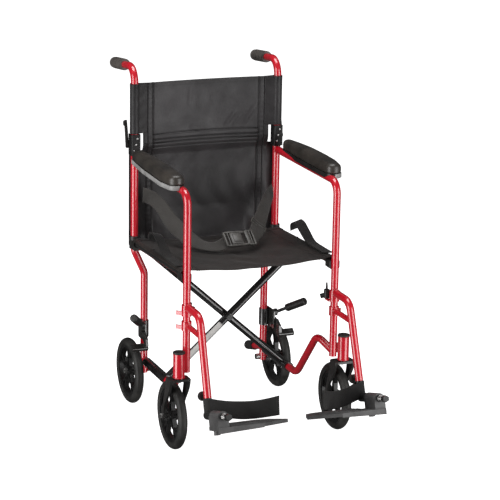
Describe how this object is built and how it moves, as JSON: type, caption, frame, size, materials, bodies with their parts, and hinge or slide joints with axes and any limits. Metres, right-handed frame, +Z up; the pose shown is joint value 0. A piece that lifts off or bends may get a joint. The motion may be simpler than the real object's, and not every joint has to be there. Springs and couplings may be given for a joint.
{
  "type": "transport wheelchair",
  "caption": "Folding transport wheelchair with an X-braced tube frame, nylon seat and back, push handles, swing-away footrests, hand brakes and spoked plastic wheels.",
  "frame": {"origin": "middle of the chair's footprint, on the ground", "axes": "+Z up, +Y to the rear, +X to the occupant's left"},
  "size_m": [0.5802, 0.9995, 1.041],
  "materials": {
    "red_paint": "glossy deep red enamel",
    "black_gloss_paint": "gloss black enamel",
    "black_paint": "satin black enamel",
    "hinge_steel": "black painted steel channel",
    "zinc_steel": "zinc-plated steel",
    "black_plastic": "moulded black nylon",
    "wheel_plastic": "moulded black composite",
    "plate_plastic": "dark grey composite",
    "tyre": "dark grey solid tyre",
    "boot_rubber": "dark rubber",
    "grip_rubber": "ribbed dark grey rubber",
    "pad_vinyl": "self-skinned urethane with a soft sheen",
    "pad_shell": "smooth grey plastic edge",
    "nylon_back": "charcoal nylon",
    "nylon_seat": "black nylon",
    "webbing": "black webbing"
  },
  "bodies": {
    "right_frame": {"right_side_frame": "red_paint", "right_rail_saddles": "black_plastic", "right_arm_pad": "pad_vinyl", "right_arm_pad_base": "pad_shell", "right_frame_caps": "boot_rubber", "right_rear_axle_set": "zinc_steel", "right_brake_bracket": "black_paint", "right_back_hinge": "hinge_steel", "lower_back_sling": "nylon_back", "seat_belt": "webbing", "belt_buckle": "black_plastic"},
    "left_frame": {"left_side_frame": "red_paint", "left_rail_saddles": "black_plastic", "left_arm_pad": "pad_vinyl", "left_arm_pad_base": "pad_shell", "left_frame_caps": "boot_rubber", "left_rear_axle_set": "zinc_steel", "left_brake_bracket": "black_paint", "left_back_hinge": "hinge_steel"},
    "brace_front": {"cross_brace_front": "black_gloss_paint", "brace_pivot_bolt": "black_paint", "seat_sling": "nylon_seat"},
    "brace_rear": {"cross_brace_rear": "black_gloss_paint"},
    "right_upper_back": {"right_handle_tube": "red_paint", "right_push_grip": "grip_rubber", "upper_back_sling": "nylon_back"},
    "right_back_latch": {"right_back_latch": "black_plastic"},
    "right_caster": {"right_caster_fork": "black_plastic", "right_caster_hardware": "zinc_steel"},
    "right_front_wheel": {"right_front_tyre": "tyre", "right_front_rim": "wheel_plastic"},
    "right_rear_wheel": {"right_rear_tyre": "tyre", "right_rear_rim": "wheel_plastic"},
    "right_brake_lever": {"right_brake_lever": "zinc_steel", "right_brake_grip": "grip_rubber"},
    "right_brake_shoe": {"right_brake_shoe": "black_paint"},
    "right_hanger": {"right_footrest_hanger": "red_paint", "right_footrest_knob": "black_plastic"},
    "right_footrest_latch": {"right_footrest_latch": "black_plastic"},
    "right_extension": {"right_footrest_extension": "zinc_steel", "right_heel_loop": "webbing"},
    "right_footplate": {"right_footplate": "plate_plastic"},
    "left_upper_back": {"left_handle_tube": "red_paint", "left_push_grip": "grip_rubber"},
    "left_back_latch": {"left_back_latch": "black_plastic"},
    "left_caster": {"left_caster_fork": "black_plastic", "left_caster_hardware": "zinc_steel"},
    "left_front_wheel": {"left_front_tyre": "tyre", "left_front_rim": "wheel_plastic"},
    "left_rear_wheel": {"left_rear_tyre": "tyre", "left_rear_rim": "wheel_plastic"},
    "left_brake_lever": {"left_brake_lever": "zinc_steel", "left_brake_grip": "grip_rubber"},
    "left_brake_shoe": {"left_brake_shoe": "black_paint"},
    "left_hanger": {"left_footrest_hanger": "red_paint", "left_footrest_knob": "black_plastic"},
    "left_footrest_latch": {"left_footrest_latch": "black_plastic"},
    "left_extension": {"left_footrest_extension": "zinc_steel", "left_heel_loop": "webbing"},
    "left_footplate": {"left_footplate": "plate_plastic"}
  },
  "joints": [
    {"name": "frame_fold", "type": "hinge", "parent": "right_frame", "child": "brace_front", "pos_m": [-0.195, 0.195, 0.13], "axis": [0, -1, 0], "range_deg": [0, 31], "deforming": ["seat_sling", "upper_back_sling", "lower_back_sling", "seat_belt", "belt_buckle", "right_heel_loop", "left_heel_loop"]},
    {"name": "brace_cross", "type": "hinge", "parent": "brace_front", "child": "brace_rear", "pos_m": [0, 0.1305, 0.30605], "axis": [0, -1, 0], "range_deg": [-66, 0]},
    {"name": "left_fold", "type": "hinge", "parent": "brace_rear", "child": "left_frame", "pos_m": [0.195, 0.195, 0.13], "axis": [0, -1, 0], "range_deg": [0, 33]},
    {"name": "right_back_fold", "type": "hinge", "parent": "right_frame", "child": "right_upper_back", "pos_m": [-0.227, 0.314, 0.8], "axis": [-1, 0, 0], "range_deg": [0, 120]},
    {"name": "right_back_latch_press", "type": "hinge", "parent": "right_frame", "child": "right_back_latch", "pos_m": [-0.2452, 0.323, 0.798], "axis": [-1, 0, 0], "range_deg": [0, 15], "stiffness_Nm_per_rad": 0.6, "springref_deg": -11.46},
    {"name": "right_caster_swivel", "type": "hinge", "parent": "right_frame", "child": "right_caster", "pos_m": [-0.254, -0.157, 0.25], "axis": [0, 0, 1], "continuous": true},
    {"name": "right_front_wheel_spin", "type": "hinge", "parent": "right_caster", "child": "right_front_wheel", "pos_m": [-0.254, -0.105, 0.1], "axis": [1, 0, 0], "continuous": true},
    {"name": "right_rear_wheel_spin", "type": "hinge", "parent": "right_frame", "child": "right_rear_wheel", "pos_m": [-0.2393, 0.315, 0.1], "axis": [1, 0, 0], "continuous": true},
    {"name": "right_brake_pull", "type": "hinge", "parent": "right_frame", "child": "right_brake_lever", "pos_m": [-0.2155, 0.268, 0.254], "axis": [1, 0, 0], "range_deg": [0, 50]},
    {"name": "right_brake_shoe_swing", "type": "hinge", "parent": "right_frame", "child": "right_brake_shoe", "pos_m": [-0.2155, 0.272, 0.227], "axis": [1, 0, 0], "range_deg": [0, 12.6]},
    {"name": "right_footrest_swing", "type": "hinge", "parent": "right_frame", "child": "right_hanger", "pos_m": [-0.227, -0.143, 0.4], "axis": [0, 0, -1], "range_deg": [0, 90]},
    {"name": "right_footrest_release", "type": "hinge", "parent": "right_hanger", "child": "right_footrest_latch", "pos_m": [-0.212, -0.122, 0.42], "axis": [0, 0, 1], "range_deg": [0, 25], "stiffness_Nm_per_rad": 0.3, "springref_deg": -11.46},
    {"name": "right_footrest_height", "type": "slide", "parent": "right_hanger", "child": "right_extension", "axis": [-0.0133, -0.3374, -0.9413], "range_m": [0, 0.06]},
    {"name": "right_footplate_flip", "type": "hinge", "parent": "right_extension", "child": "right_footplate", "pos_m": [-0.233, -0.447, 0.20619], "axis": [0, -0.9588, 0.284], "range_deg": [0, 90], "deforming": ["right_heel_loop"]},
    {"name": "left_back_fold", "type": "hinge", "parent": "left_frame", "child": "left_upper_back", "pos_m": [0.227, 0.314, 0.8], "axis": [-1, 0, 0], "range_deg": [0, 120]},
    {"name": "left_back_latch_press", "type": "hinge", "parent": "left_frame", "child": "left_back_latch", "pos_m": [0.2452, 0.323, 0.798], "axis": [-1, 0, 0], "range_deg": [0, 15], "stiffness_Nm_per_rad": 0.6, "springref_deg": -11.46},
    {"name": "left_caster_swivel", "type": "hinge", "parent": "left_frame", "child": "left_caster", "pos_m": [0.254, -0.157, 0.25], "axis": [0, 0, 1], "continuous": true},
    {"name": "left_front_wheel_spin", "type": "hinge", "parent": "left_caster", "child": "left_front_wheel", "pos_m": [0.254, -0.105, 0.1], "axis": [1, 0, 0], "continuous": true},
    {"name": "left_rear_wheel_spin", "type": "hinge", "parent": "left_frame", "child": "left_rear_wheel", "pos_m": [0.2393, 0.315, 0.1], "axis": [1, 0, 0], "continuous": true},
    {"name": "left_brake_pull", "type": "hinge", "parent": "left_frame", "child": "left_brake_lever", "pos_m": [0.2155, 0.268, 0.254], "axis": [1, 0, 0], "range_deg": [0, 50]},
    {"name": "left_brake_shoe_swing", "type": "hinge", "parent": "left_frame", "child": "left_brake_shoe", "pos_m": [0.2155, 0.272, 0.227], "axis": [1, 0, 0], "range_deg": [0, 12.6]},
    {"name": "left_footrest_swing", "type": "hinge", "parent": "left_frame", "child": "left_hanger", "pos_m": [0.227, -0.143, 0.4], "axis": [0, 0, 1], "range_deg": [0, 90]},
    {"name": "left_footrest_release", "type": "hinge", "parent": "left_hanger", "child": "left_footrest_latch", "pos_m": [0.212, -0.122, 0.42], "axis": [0, 0, -1], "range_deg": [0, 25], "stiffness_Nm_per_rad": 0.3, "springref_deg": -11.46},
    {"name": "left_footrest_height", "type": "slide", "parent": "left_hanger", "child": "left_extension", "axis": [0.0133, -0.3374, -0.9413], "range_m": [0, 0.06]},
    {"name": "left_footplate_flip", "type": "hinge", "parent": "left_extension", "child": "left_footplate", "pos_m": [0.233, -0.447, 0.20619], "axis": [0, 0.9588, -0.284], "range_deg": [0, 90], "deforming": ["left_heel_loop"]}
  ],
  "couplings": [
    {"joint": "left_back_fold", "follows": "right_back_fold", "ratio": 1},
    {"joint": "brace_cross", "follows": "frame_fold", "ratio": -2},
    {"joint": "left_fold", "follows": "frame_fold", "ratio": 1},
    {"joint": "right_brake_shoe_swing", "follows": "right_brake_pull", "ratio": 0.25},
    {"joint": "right_footplate_flip", "follows": "frame_fold", "ratio": 2.9032},
    {"joint": "left_brake_shoe_swing", "follows": "left_brake_pull", "ratio": 0.25},
    {"joint": "left_footplate_flip", "follows": "frame_fold", "ratio": 2.9032}
  ]
}
